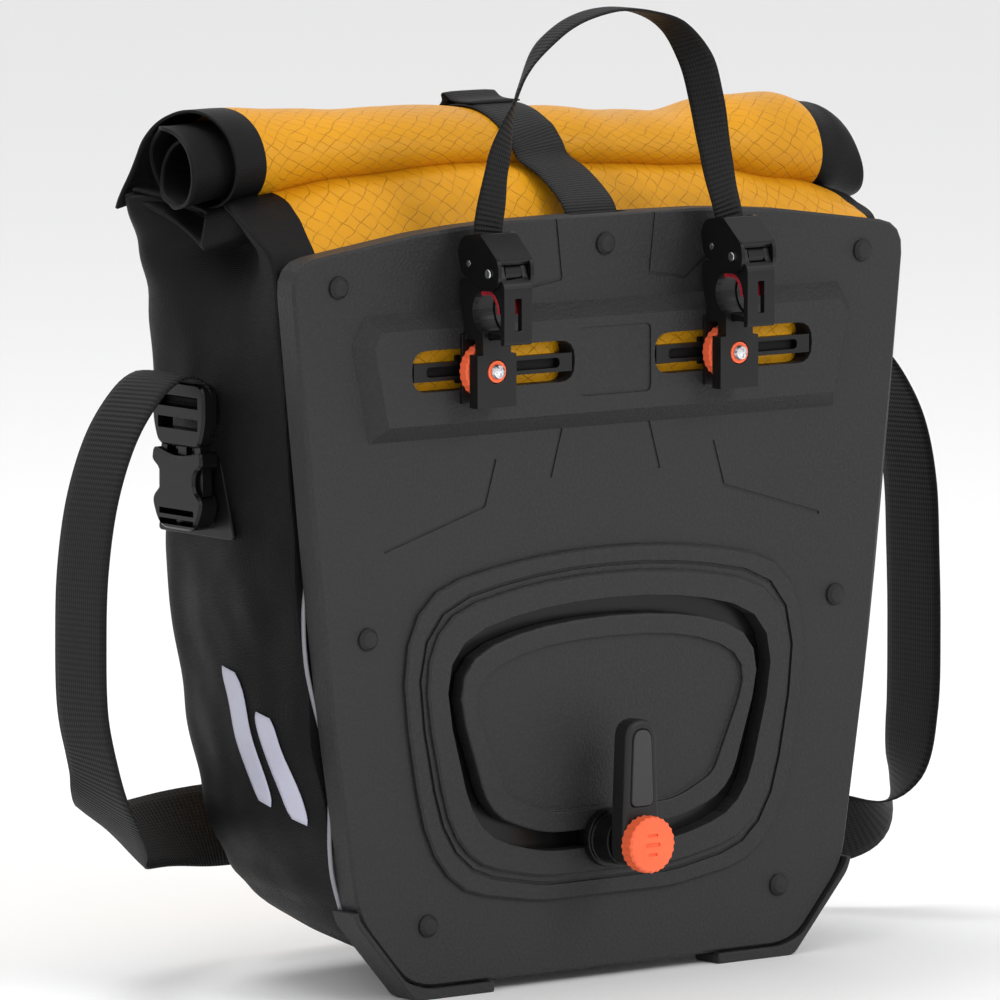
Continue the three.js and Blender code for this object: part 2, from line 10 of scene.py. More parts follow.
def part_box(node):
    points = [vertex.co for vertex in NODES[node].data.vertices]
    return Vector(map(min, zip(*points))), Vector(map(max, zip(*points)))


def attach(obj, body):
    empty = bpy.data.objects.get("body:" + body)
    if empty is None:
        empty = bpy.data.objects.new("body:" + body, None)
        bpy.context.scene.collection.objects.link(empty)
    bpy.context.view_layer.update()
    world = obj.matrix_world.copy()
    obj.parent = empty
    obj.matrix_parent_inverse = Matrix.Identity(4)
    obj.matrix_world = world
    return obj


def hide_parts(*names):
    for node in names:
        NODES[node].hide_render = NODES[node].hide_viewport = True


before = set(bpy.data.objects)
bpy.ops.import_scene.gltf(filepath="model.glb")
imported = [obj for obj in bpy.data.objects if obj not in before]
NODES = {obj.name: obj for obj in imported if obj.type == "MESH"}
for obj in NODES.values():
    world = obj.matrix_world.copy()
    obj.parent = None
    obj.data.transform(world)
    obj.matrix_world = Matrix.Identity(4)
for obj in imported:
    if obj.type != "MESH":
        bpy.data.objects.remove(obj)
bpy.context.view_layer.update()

BASE_Y = 60.0  # mm from the plate's front face back to the origin
SIDES = (("left", -1), ("right", 1))  # each side's name and the sign of its x


def at(x, y, z):
    """A point given in millimetres from the plate's front face, in the row frame."""
    return Vector((x / 1000, (y - BASE_Y) / 1000, z / 1000))


def ramp(x, table):
    """Smoothly interpolated value from (x, value) pairs."""
    if x <= table[0][0]:
        return table[0][1]
    for (x0, a), (x1, b) in zip(table, table[1:]):
        if x <= x1:
            t = (x - x0) / (x1 - x0)
            return a + (b - a) * t * t * (3 - 2 * t)
    return table[-1][1]


def bump(x, centre, half):
    """A smooth hump of height 1 and the given half width."""
    t = abs(x - centre) / half
    return 0.0 if t >= 1 else (1 - t * t) ** 2


# ---- material nodes ---------------------------------------------------------------------------
class Graph:
    """Short names for the shader nodes a material is made of."""

    def __init__(self, name):
        self.material = bpy.data.materials.new(name)
        self.material.use_nodes = True
        self.tree = self.material.node_tree
        self.shader = self.tree.nodes["Principled BSDF"]

    def node(self, kind, **values):
        """A new shader node with its settings."""
        made = self.tree.nodes.new("ShaderNode" + kind)
        for key, value in values.items():
            setattr(made, key, value)
        return made

    def put(self, socket, value):
        """Links an output to the socket, or sets the socket to a plain value."""
        if hasattr(value, "is_output"):
            self.tree.links.new(value, socket)
        else:
            socket.default_value = value

    def coords(self, which="Object"):
        return self.node("TexCoord").outputs[which]

    def mapped(self, vector, scale):
        made = self.node("Mapping")
        self.put(made.inputs["Vector"], vector)
        made.inputs["Scale"].default_value = scale
        return made.outputs[0]

    def math(self, operation, a, b=0.0, c=0.0):
        made = self.node("Math", operation=operation)
        for socket, value in zip(made.inputs, (a, b, c)):
            self.put(socket, value)
        return made.outputs[0]

    def noise(self, vector, scale, detail):
        made = self.node("TexNoise")
        self.put(made.inputs["Vector"], vector)
        made.inputs["Scale"].default_value = scale
        made.inputs["Detail"].default_value = detail
        made.inputs["Roughness"].default_value = 0.55
        return made.outputs[0]

    def remap(self, value, low, high, out_low=0.0, out_high=1.0):
        made = self.node("MapRange")
        self.put(made.inputs[0], value)
        for socket, number in zip(made.inputs[1:5], (low, high, out_low, out_high)):
            socket.default_value = number
        return made.outputs[0]

    def mix(self, factor, a, b):
        made = self.node("Mix", data_type="RGBA", blend_type="MIX")
        self.put(made.inputs[0], factor)
        self.put(made.inputs[6], a)
        self.put(made.inputs[7], b)
        return made.outputs[2]

    def split(self, vector):
        made = self.node("SeparateXYZ")
        self.put(made.inputs[0], vector)
        return made.outputs

    def bump(self, height, strength, distance, under=None):
        made = self.node("Bump")
        made.inputs["Strength"].default_value = strength
        made.inputs["Distance"].default_value = distance
        self.put(made.inputs["Height"], height)
        if under is not None:
            self.put(made.inputs["Normal"], under)
        return made.outputs[0]

    def finish(self, color, roughness, normal=None, **plain):
        """The finished material. Each plain value goes straight onto the shader's own socket."""
        self.put(self.shader.inputs["Base Color"], color)
        self.put(self.shader.inputs["Roughness"], roughness)
        if normal is not None:
            self.put(self.shader.inputs["Normal"], normal)
        for key, value in plain.items():
            name = " ".join({"ior": "IOR"}.get(word, word.title()) for word in key.split("_"))
            self.shader.inputs[name].default_value = value
        return self.material


def srgb(r, g, b):
    """8-bit display colour to a linear RGBA tuple."""
    def linear(c):
        c /= 255
        return c / 12.92 if c <= 0.04045 else ((c + 0.055) / 1.055) ** 2.4
    return (linear(r), linear(g), linear(b), 1.0)


def shade(color, factor):
    """The colour made lighter or darker."""
    return tuple(c * factor for c in color[:3]) + (1.0,)


def plastic(name, color, roughness, grain, scale, gloss=0.3):
    """Moulded plastic with fine spark-eroded grain and faint mottling."""
    g = Graph(name)
    where = g.coords()
    cloud = g.noise(where, 14, 4)
    fine = g.noise(where, scale, 2)
    tint = g.mix(g.remap(cloud, 0.35, 0.65), shade(color, 0.86), shade(color, 1.1))
    tint = g.mix(g.remap(fine, 0.45, 0.7, 0, 0.6 * grain), tint, shade(color, 1.7))
    rough = g.remap(cloud, 0.3, 0.7, roughness - 0.05, roughness + 0.06)
    return g.finish(tint, rough, g.bump(fine, grain, 0.0004), specular_ior_level=gloss)


def metal(name, color, roughness):
    """Bare metal with fine brushed streaks."""
    g = Graph(name)
    streak = g.noise(g.mapped(g.coords(), (600, 600, 60)), 1.0, 2)
    rough = g.remap(streak, 0.3, 0.7, roughness - 0.06, roughness + 0.1)
    return g.finish(color, rough, g.bump(streak, 0.08, 0.0002), metallic=1.0)


def woven(name, color, pitch, roughness, strength, contrast):
    """Coated fabric: a plain weave of the given pitch (m) laid over the surface by position."""
    g = Graph(name)
    x, y, z = g.split(g.coords())[:3]
    turns = 2 * math.pi / pitch
    across = g.math("ADD", x, y)
    warp = g.math("SINE", g.math("MULTIPLY", g.math("ADD", across, z), turns))
    weft = g.math("SINE", g.math("MULTIPLY", g.math("SUBTRACT", across, z), turns))
    weave = g.math("MULTIPLY_ADD", g.math("MULTIPLY", warp, weft), 0.5, 0.5)
    cloud = g.noise(g.coords(), 9, 5)
    wide = g.noise(g.coords(), 38, 4)
    tint = g.mix(g.remap(cloud, 0.3, 0.7), shade(color, 0.86), shade(color, 1.12))
    tint = g.mix(g.math("MULTIPLY", weave, contrast), tint, shade(color, 1.9))
    rough = g.remap(wide, 0.3, 0.7, roughness - 0.06, roughness + 0.06)
    under = g.bump(wide, 0.25, 0.002)
    return g.finish(tint, rough, g.bump(weave, strength, 0.00035, under), specular_ior_level=0.13)


def lattice(name, color, line):
    """Coated fabric with an embossed lattice of crooked scales, read from UVs in metres."""
    g = Graph(name)
    uv = g.coords("UV")
    wobble = g.noise(uv, 62, 2)
    drift = g.math("MULTIPLY_ADD", wobble, 0.0105, -0.0052)
    u, v = g.split(uv)[:2]
    pitch = 0.0088  # m between two lines of one family
    lines = []
    for lean in (1.15, -1.5):  # the two families of lines slope opposite ways
        run = g.math("ADD", g.math("MULTIPLY_ADD", v, lean, u), drift)
        saw = g.math("PINGPONG", g.math("DIVIDE", run, pitch), 0.5)
        lines.append(g.remap(saw, 0.0, 0.055, 1.0, 0.0))
    both = g.math("MAXIMUM", *lines)
    breaks = g.remap(g.noise(uv, 160, 2), 0.36, 0.58, 0.25, 1.0)
    mark = g.math("MULTIPLY", both, breaks)
    cloud = g.noise(uv, 20, 4)
    tint = g.mix(g.remap(cloud, 0.3, 0.7), shade(color, 0.9), shade(color, 1.1))
    tint = g.mix(g.math("MULTIPLY", mark, 0.62), tint, line)
    thread = g.noise(uv, 1500, 2)
    relief = g.bump(g.math("SUBTRACT", 1.0, mark), 0.5, 0.0006, g.bump(thread, 0.18, 0.0003))
    rough = g.remap(cloud, 0.3, 0.7, 0.36, 0.5)
    return g.finish(tint, rough, relief, specular_ior_level=0.2)


def webbing(name, color, rib, width):
    """Woven strap read from UVs in metres: ribs across the length with painted shade between them and a
    painted highlight on their crests, and firm, darker edges.
    """
    g = Graph(name)
    u, v = g.split(g.coords("UV"))[:2]
    turns = 2 * math.pi / rib
    ribs = g.math("SINE", g.math("MULTIPLY", u, turns))
    fibres = g.math("SINE", g.math("MULTIPLY", v, turns * 1.6))
    height = g.math("MULTIPLY_ADD", g.math("MULTIPLY_ADD", fibres, 0.3, ribs), 0.4, 0.5)
    fuzz = g.noise(g.coords("UV"), 900, 2)
    # painted shade in the gaps between the ribs and painted highlight on the rib crests, both taken from the
    # rib height
    tint = g.mix(g.remap(height, 0.1, 0.9), shade(color, 0.5), shade(color, 1.55))
    tint = g.mix(g.remap(fuzz, 0.4, 0.7, 0, 0.35), tint, shade(color, 2.0))
    edge = g.remap(g.math("ABSOLUTE", v), width * 0.44, width * 0.49)
    tint = g.mix(g.math("MULTIPLY", edge, 0.5), tint, shade(color, 0.5))
    relief = g.bump(height, 0.75, 0.0007, g.bump(fuzz, 0.2, 0.0003))
    return g.finish(tint, 0.62, relief, specular_ior_level=0.2)


def film(name, color):
    """Retroreflective film: pale, faintly beaded."""
    g = Graph(name)
    cells = g.node("TexVoronoi")
    g.put(cells.inputs["Vector"], g.coords())
    cells.inputs["Scale"].default_value = 1600
    tint = g.mix(g.remap(cells.outputs[0], 0.1, 0.7, 0, 0.3), color, shade(color, 0.75))
    return g.finish(tint, 0.42, g.bump(cells.outputs[0], 0.15, 0.0002))


CHARCOAL = srgb(33, 33, 34)
AMBER = srgb(206, 143, 18)
AMBER_LINE = srgb(138, 84, 8)
BLACK_CLOTH = srgb(13, 13, 14)
STRAP_BLACK = srgb(16, 16, 17)

MATERIALS = {
    "charcoal": plastic("charcoal_moulded", CHARCOAL, 0.54, 0.9, 700, 0.34),
    "gloss_black": plastic("gloss_black_plastic", srgb(13, 13, 14), 0.28, 0.05, 1200),
    "satin_black": plastic("satin_black_plastic", srgb(16, 16, 17), 0.36, 0.18, 1100),
    "arm_black": plastic("arm_plastic", srgb(27, 27, 28), 0.46, 0.2, 1000),
    "grip": plastic("soft_grip", srgb(58, 58, 59), 0.7, 0.4, 1300),
    "orange": plastic("orange_plastic", srgb(246, 106, 66), 0.42, 0.12, 1100),
    "red": plastic("red_plastic", srgb(150, 34, 44), 0.3, 0.08, 1200),
    "steel": metal("bright_steel", (0.78, 0.78, 0.8, 1), 0.22),
    "cloth": woven("black_coated_cloth", BLACK_CLOTH, 0.0016, 0.52, 0.55, 0.3),
    "amber": lattice("amber_lattice_cloth", AMBER, AMBER_LINE),
    "liner": plastic("rubber_liner", srgb(12, 12, 13), 0.7, 0.2, 900),
    "film": film("reflective_film", srgb(196, 196, 214)),
    "cord": film("reflective_cord", srgb(136, 136, 142)),
    # painted light: a brighter copy of the amber cloth for the windows, standing in for the light the deep
    # recess keeps from the cloth there
    "amber_painted_lit": lattice("amber_lattice_painted_lit", srgb(250, 180, 30), srgb(170, 104, 10)),
    "rail": plastic("rail_plastic", srgb(15, 15, 16), 0.36, 0.12, 1100),
    "strap": webbing("strap_webbing", STRAP_BLACK, 0.0024, 0.038),
    "handle": webbing("handle_webbing", STRAP_BLACK, 0.0022, 0.0155),
    "closure": webbing("closure_webbing", srgb(34, 34, 35), 0.0014, 0.028),
}


# ---- mesh building ----------------------------------------------------------------------------
def add_mesh(name, points, faces, materials, uvs=None, picks=None):
    """A mesh object from plain lists. picks gives each face's material index."""
    mesh = bpy.data.meshes.new(name)
    mesh.from_pydata([tuple(p) for p in points], [], faces)
    for key in materials:
        mesh.materials.append(MATERIALS[key])
    for index, polygon in enumerate(mesh.polygons):
        polygon.use_smooth = True
        if picks:
            polygon.material_index = picks[index]
    if uvs:
        layer = mesh.uv_layers.new(name="cloth")
        for polygon in mesh.polygons:
            for loop, corner in zip(polygon.loop_indices, uvs[polygon.index]):
                layer.data[loop].uv = corner
    mesh.validate()
    made = bpy.data.objects.new(name, mesh)
    bpy.context.scene.collection.objects.link(made)
    return made


def add_modifier(made, kind, **values):
    modifier = made.modifiers.new(kind.lower(), kind)
    for key, value in values.items():
        setattr(modifier, key, value)


def apply_modifiers(made):
    """Turns the piece's modifiers into plain mesh."""
    graph = bpy.context.evaluated_depsgraph_get()
    graph.update()
    mesh = bpy.data.meshes.new_from_object(made.evaluated_get(graph))
    made.modifiers.clear()
    made.data = mesh


def smooth_path(points, steps):
    """Catmull-Rom run through the points at even spacing, and its length."""
    dense = []
    ends = [points[0] * 2 - points[1]] + list(points) + [points[-1] * 2 - points[-2]]
    for i in range(len(points) - 1):
        p0, p1, p2, p3 = ends[i:i + 4]
        for k in range(12):
            t = k / 12
            dense.append(0.5 * ((2 * p1) + (p2 - p0) * t + (2 * p0 - 5 * p1 + 4 * p2 - p3) * t * t
                                + (3 * p1 - p0 - 3 * p2 + p3) * t ** 3))
    dense.append(points[-1].copy())
    lengths = [0.0]
    for a, b in zip(dense, dense[1:]):
        lengths.append(lengths[-1] + (b - a).length)
    run, index = [], 0
    for k in range(steps + 1):
        goal = lengths[-1] * k / steps
        while index < len(lengths) - 2 and lengths[index + 1] < goal:
            index += 1
        span = lengths[index + 1] - lengths[index] or 1.0
        run.append(dense[index].lerp(dense[index + 1], (goal - lengths[index]) / span))
    return run, lengths[-1]


def ribbon(name, points, across, width, thickness, material, steps=160, lanes=6):
    """Flat webbing along a run of points. across gives the width direction at 0..1 of the run."""
    run, length = smooth_path(points, steps)
    verts, faces, uvs = [], [], []
    count = lanes + 1
    for i, p in enumerate(run):
        t = i / steps
        ahead = run[min(i + 1, steps)] - run[max(i - 1, 0)]
        ahead.normalize()
        side = across(t)
        side = (side - ahead * side.dot(ahead)).normalized()
        up = side.cross(ahead)
        w = width(t) if callable(width) else width
        for face in (1, -1):
            for k in range(count):
                v = k / lanes - 0.5
                crown = (1 - (2 * v) ** 6) * thickness / 2
                rise = face * crown if 0 < k < lanes else face * thickness * 0.22
                verts.append(p + side * (v * w) + up * rise)
    ring = 2 * count
    for i in range(steps):
        u0, u1 = (length * j / steps for j in (i, i + 1))
        wide = width(i / steps) if callable(width) else width
        for face in (0, 1):
            for k in range(lanes):
                a = i * ring + face * count + k
                v0, v1 = ((j / lanes - 0.5) * wide for j in (k, k + 1))
                quad, corner = [a, a + 1, a + ring + 1, a + ring], [(u0, v0), (u0, v1), (u1, v1), (u1, v0)]
                if face == 1:
                    quad.reverse()
                    corner.reverse()
                faces.append(quad)
                uvs.append(corner)
        for k, flip in ((0, True), (lanes, False)):
            a, b = i * ring + k, i * ring + count + k
            quad = [a, a + ring, b + ring, b] if flip else [b, b + ring, a + ring, a]
            faces.append(quad)
            half = wide / 2
            uvs.append([(u0, half), (u1, half), (u1, half), (u0, half)])
    for start, flip in ((0, False), (steps * ring, True)):
        for k in range(lanes):
            a = start + k
            quad = [a, a + count, a + count + 1, a + 1]
            faces.append(quad[::-1] if flip else quad)
            uvs.append([(0, 0)] * 4)
    made = add_mesh(name, verts, faces, [material], uvs)
    fix_normals(made)
    made["run_length"] = length
    return made


def fix_normals(made):
    """Turns every face outwards."""
    edit = bmesh.new()
    edit.from_mesh(made.data)
    bmesh.ops.recalc_face_normals(edit, faces=edit.faces)
    edit.to_mesh(made.data)
    edit.free()


# ---- bag body and neck ------------------------------------------------------------------------
# Each table runs up the bag: (height, value), all in mm from the plate's front face.
HALF_NEAR = [(0, 84), (4, 94), (9, 102), (17, 110), (28, 119), (44, 129), (80, 140), (120, 149),
             (200, 157), (262, 163), (300, 165), (322, 167), (334, 170), (346, 170), (349, 150)]
HALF_FAR = [(0, 84), (4, 94), (9, 102), (17, 111), (28, 120), (44, 130), (80, 142), (120, 150),
            (200, 158), (262, 163), (300, 167), (322, 172), (340, 179), (346, 180), (349, 152)]
FAR_Y = [(0, 98), (8, 106), (22, 113), (70, 119), (150, 122), (230, 121), (290, 119), (322, 115),
         (346, 109), (349, 96)]
NEAR_Y = [(0, 22), (10, 16), (20, 14.5), (316, 14.5), (324, 18), (334, 26), (342, 35), (346, 43), (349, 60)]
# Height of the crease between the neck and the hem, along x.
CREASE = [(-190, 343), (-151, 350), (-103, 355), (-58, 358), (3, 356), (87, 351), (141, 342), (170, 336),
          (190, 334)]
NECK_LEFT, NECK_RIGHT = -147.0, 164.0  # edges of the amber panel behind the plate and on the neck
FRONT_SEAM, FRONT_SEAM_Z = 147.0, 78.0  # edges of the amber panel on the front of the bag
NECK_Y = 70.0  # nearer than this, the cloth belongs to the plate side and the neck
BODY_TOP = 349
PLATE_TOP = 316  # height up to which the near wall is seen only through the windows
SIDE_COLUMNS, CORNER_COLUMNS = 26, 6
WINDOW_X, WINDOW_Z = 66.0, 273.0  # middles of the rail windows, where the cloth presses through
WINDOW_WIDE = [(0, 1), (37, 1), (58, 0)]
WINDOW_TALL = [(0, 1), (9, 1), (26, 0)]
WINDOW_BULGE = 14.8  # mm that the cloth comes forward in a window


def spread(start, stop, count):
    """count even steps from start, without stop itself."""
    return [start + (stop - start) * k / count for k in range(count)]


def wall_columns(start, first_seam, second_seam, stop, edge_columns, middle_columns):
    """X positions along a wall, with columns exactly on both seams; each with its zone."""
    xs = (spread(start, first_seam, edge_columns) + spread(first_seam, second_seam, middle_columns)
          + spread(second_seam, stop, edge_columns))
    zones = [False] * edge_columns + [True] * middle_columns + [False] * edge_columns
    return list(zip(xs, zones))


def side_run(side, z):
    """One side panel at height z: points from the near edge round the far corner."""
    near_w, far_w, near, far = (ramp(z, table) for table in (HALF_NEAR, HALF_FAR, NEAR_Y, FAR_Y))
    radius = ramp(z, [(0, 14), (60, 22), (300, 20), (322, 12), (349, 6)])
    swell = ramp(z, [(0, 0.5), (60, 5), (240, 6), (310, 1), (349, 0)])
    cave = ramp(z, [(250, 0), (300, 5), (328, 24), (342, 26), (349, 10)])
    run = []
    for k in range(SIDE_COLUMNS + 1):
        t = k / SIDE_COLUMNS
        y = near + (far - radius - near) * t
        hollow = cave * bump(t, 0.52, 0.5)
        run.append((side * (near_w + (far_w - near_w) * t + swell * math.sin(math.pi * t) - hollow), y))
    for k in range(1, CORNER_COLUMNS + 1):
        angle = math.pi / 2 * k / CORNER_COLUMNS
        x = far_w - radius * (1 - math.cos(angle))
        run.append((side * x, far - radius + radius * math.sin(angle)))
    return run


def body_ring(z):
    """The bag's wall at one height, as (x, y, is_amber), from the left near corner and back to it."""
    far, near = ramp(z, FAR_Y), ramp(z, NEAR_Y)
    left, right = side_run(-1, z), side_run(1, z)
    swell = ramp(z, [(0, 1), (90, 12), (250, 11), (330, 2), (349, 0)])
    x_left, x_right = left[-1][0], right[-1][0]
    seam = min(FRONT_SEAM, x_right - 6)
    front = wall_columns(x_left, -seam, seam, x_right, 5, 56)[1:]
    w_left, w_right = left[0][0], right[0][0]
    back = wall_columns(w_right, min(NECK_RIGHT, w_right - 3), max(NECK_LEFT, w_left + 5), w_left, 6, 60)
    ring = [(x, y, False) for x, y in left]
    ring += [(x, far + swell * (1 - (x / x_right) ** 2), zone and z > FRONT_SEAM_Z) for x, zone in front]
    ring += [(x, y, False) for x, y in reversed(right)]
    ring += [(x, near, zone and z > 190) for x, zone in back[1:]]
    return ring


def crumple(p, seed, wavelength, size):
    """Offset in mm from smooth noise at the given wavelength."""
    return noise.noise(Vector(p) / wavelength + Vector((seed, seed * 1.7, -seed))) * size


def settle(x, y, z):
    """Where the cloth really lies: sagging, creased, lifted to the hem and bulged into the windows."""
    loose = ramp(z, [(8, 0), (60, 1), (349, 1)])
    on_side = min(max((abs(x) - 118) / 40, 0), 1)
    dx = math.copysign(1, x) * on_side * loose * (
        crumple((x, y, z), 3, 70, 3.4) + crumple((x, y * 1.6, z), 5, 26, 1.5))
    on_front = min(max((y - 96) / 18, 0), 1)
    dy = on_front * loose * (crumple((x, y, z), 8, 75, 4.5) + crumple((x, y, z), 9, 28, 1.6))
    on_neck = ramp(z, [(318, 0), (330, 1)]) if y < NECK_Y else 0
    dy += on_neck * (crumple((x, 0, z), 12, 60, 3.0) + crumple((x, z, 0), 14, 24, 1.0))
    if y < 20:
        across, up = abs(abs(x) - WINDOW_X), abs(z - WINDOW_Z)
        dy -= WINDOW_BULGE * ramp(across, WINDOW_WIDE) * ramp(up, WINDOW_TALL)
    lift = (ramp(x, CREASE) - BODY_TOP) * ramp(z, [(318, 0), (346, 1)]) * (1 if y < NECK_Y else 0)
    rise = (0.13 * max(y - 20, 0) + 7 * min(abs(x) / 90, 1) ** 2) * ramp(z, [(0, 1), (70, 0)])
    return at(x + dx, y + dy, z + lift + rise)


def build_body():
    """The bag's shell, lofted from its rings, closed below and open under the hem."""
    heights = ([0, 1, 3, 6, 10, 16, 24] + [24 + 7 * k for k in range(1, 42)]
               + [PLATE_TOP, 321, 325, 329, 333, 337, 340, 343, 346, 348, BODY_TOP])
    rings = [body_ring(z) for z in heights]
    count = len(rings[0])
    verts = [settle(x, y, z) for z, ring in zip(heights, rings) for x, y, _ in ring]
    faces, uvs, picks = [], [], []
    for row in range(len(heights) - 1):
        for k in range(count):
            after = (k + 1) % count
            quad = [row * count + k, row * count + after, (row + 1) * count + after, (row + 1) * count + k]
            faces.append(quad)
            amber = rings[row + 1][k][2] and rings[row + 1][after][2]
            # amber faces seen through the windows get the brighter amber copy, painted light against the
            # shade of the recess
            inset = rings[row + 1][k][1] < 30 and heights[row + 1] <= PLATE_TOP
            picks.append((2 if inset else 1) if amber else 0)
            uvs.append([(verts[i].x, verts[i].z) for i in quad])
    faces.append(list(range(count))[::-1])
    picks.append(0)
    uvs.append([(verts[i].x, verts[i].y) for i in range(count)][::-1])
    body = add_mesh("bag_shell", verts, faces, ["cloth", "amber", "amber_painted_lit"], uvs, picks)
    fix_normals(body)
    return body


# ---- folded gussets under the hem ---------------------------------------------------------------
# Rows of the left pleat from under the roll, over its ridge and lower edge, and back inside.
PLEAT = [
    [(-152, 44, 345), (-153, 47, 348), (-155, 57, 347), (-150, 64, 346), (-155, 84, 347), (-168, 100, 348)],
    [(-155, 41, 343), (-164, 45, 343), (-171, 58, 341), (-169, 64, 341), (-171, 84, 344), (-178, 103, 348)],
    [(-156, 40, 338), (-167, 44, 337), (-173, 58, 333), (-152, 66, 335), (-160, 86, 341), (-175, 104, 346)],
    [(-155, 41, 334), (-166, 45, 330), (-173, 58, 325), (-171, 66, 328), (-174, 86, 337), (-180, 106, 345)],
    [(-151, 44, 332), (-158, 46, 328), (-158, 58, 324), (-152, 66, 326), (-158, 86, 334), (-174, 104, 342)]]
RIGHT_SHIFT = (3.0, 14.0, -9.0)  # the right pleat hangs further back and lower


def build_pleat(name, side):
    """Slack of the side panel folded out below the rolled hem, open towards the far corner."""
    rows, columns = len(PLEAT), len(PLEAT[0])
    shift = (0, 0, 0) if side < 0 else RIGHT_SHIFT
    verts = []
    for row in PLEAT:
        for c, (x, y, z) in enumerate(row):
            verts.append(at(-side * x + shift[0], y + shift[1] * (1 - c / (columns - 1)), z + shift[2]))
    faces = [[r * columns + c, r * columns + c + 1, (r + 1) * columns + c + 1, (r + 1) * columns + c]
             for r in range(rows - 1) for c in range(columns - 1)]
    pleat = add_mesh(name, verts, faces, ["cloth"])
    edit = bmesh.new()
    edit.from_mesh(pleat.data)
    crease = edit.edges.layers.float.new("crease_edge")
    for edge in edit.edges:
        (r0, c0), (r1, c1) = (divmod(v.index, columns) for v in edge.verts)
        if c0 == c1 == 2 and min(r0, r1) >= 1:  # the sharp fold across the pleat
            edge[crease] = 0.85
        if r0 == r1 and r0 in (1, 3):  # its two softer edges
            edge[crease] = 0.35
    edit.to_mesh(pleat.data)
    edit.free()
    add_modifier(pleat, "SUBSURF", levels=4, render_levels=4)
    apply_modifiers(pleat)
    for vertex in pleat.data.vertices:
        p = vertex.co * 1000
        vertex.co.x += 0.001 * crumple(p, 21, 16, 1.6) * side
        vertex.co.z += 0.001 * crumple(p, 22, 22, 1.2)
    add_modifier(pleat, "SOLIDIFY", thickness=0.0012, offset=0)
    apply_modifiers(pleat)
    fix_normals(pleat)
    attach(pleat, "bag")


# ---- rolled hem -------------------------------------------------------------------------------
# Height of the top of the roll, along x.
ROLL_TOP = [(-200, 382), (-146, 381), (-55, 378), (22, 374), (87, 369.5), (122, 374), (148, 375), (170, 369),
            (196, 354)]
# Path of the cloth seen along the roll: up from the front of the bag, over and inwards.
SPIRAL = [(110, 344), (106, 354), (102, 365), (93, 376.5), (78, 381), (62, 379.5), (50, 372), (45, 360),
          (49, 350), (60, 344.5), (75, 343.5), (88, 347), (97, 356), (98, 367), (86, 375), (68, 374.5),
          (55, 368), (51, 358), (57, 350), (70, 347.5), (84, 351), (90, 360), (82, 368), (69, 368),
          (61, 361), (65, 355), (72, 355)]
SPIRAL_MID = (76.0, 362.2)
SPIRAL_TALL = 37.5  # height of the spiral as its path is given
SPIRAL_LENGTH = 0.36  # m along the path, for the texture
SPIRAL_SAMPLES = 170
# Where each part of the spiral ends at the left and at the right (share of the path, x in mm).
LEFT_END = [(0, -181), (0.07, -175), (0.14, -168), (0.3, -166), (0.4, -167), (0.47, -170), (0.54, -172),
            (0.6, -181), (0.7, -184), (0.75, -182), (0.8, -177), (0.86, -169), (1, -160)]
RIGHT_END = [(0, 184), (0.1, 180), (0.22, 178), (0.35, 186), (0.45, 186), (0.6, 184), (0.8, 182), (1, 176)]
ROLL_LEFT, ROLL_RIGHT = -150.0, 157.0  # edges of the amber on the hem
AMBER_SHARE = 0.44  # share of the path that is amber, before the cloth turns inside
END_COLUMNS, AMBER_COLUMNS = 12, 96
CLOTH = 1.5  # mm between the two faces of the rolled cloth


def roll_point(x, point, inset):
    """A point of the spiral at x, squeezed to the hem's height there."""
    top, low = ramp(x, ROLL_TOP), ramp(x, CREASE) - 5.5
    tall = (top - low) / SPIRAL_TALL
    deep = 1 - 0.10 * bump(x, -8, 46) - 0.12 * bump(x, 196, 40)
    y, z = point
    return at(x, SPIRAL_MID[0] + (y - SPIRAL_MID[0]) * deep - inset[0],
              (top + low) / 2 + (z - SPIRAL_MID[1]) * tall - inset[1])


